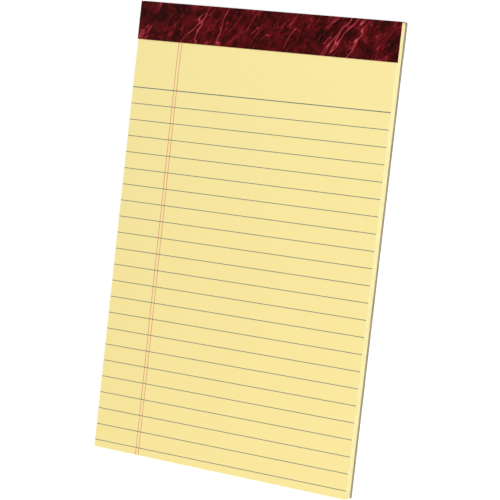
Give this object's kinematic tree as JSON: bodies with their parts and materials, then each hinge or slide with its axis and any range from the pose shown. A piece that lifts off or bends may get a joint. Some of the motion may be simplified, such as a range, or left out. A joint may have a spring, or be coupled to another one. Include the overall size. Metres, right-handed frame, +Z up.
{
  "type": "legal pad",
  "caption": "Junior legal pad: canary ruled sheets on a chipboard back, stapled at the stub and bound along the top edge by a folded maroon marbled strip.",
  "frame": {"origin": "the middle of the pad's outline, at the level it rests on", "axes": "+Z up out of the front page, +Y up the page towards the bound edge, +X across the page to the right"},
  "size_m": [0.1278, 0.2034, 0.0058],
  "materials": {
    "chipboard": "bare grey-brown chipboard, matte",
    "canary_paper": "uncoated canary writing paper, ruled, matte",
    "marbled_paper": "coated binding paper, maroon with crimson veins, satin",
    "staple_wire": "galvanised steel wire"
  },
  "bodies": {
    "root": {"backing_board": "chipboard", "sheet_block": "canary_paper", "binding_strip": "marbled_paper", "staple_left": "staple_wire", "staple_right": "staple_wire"}
  },
  "joints": []
}
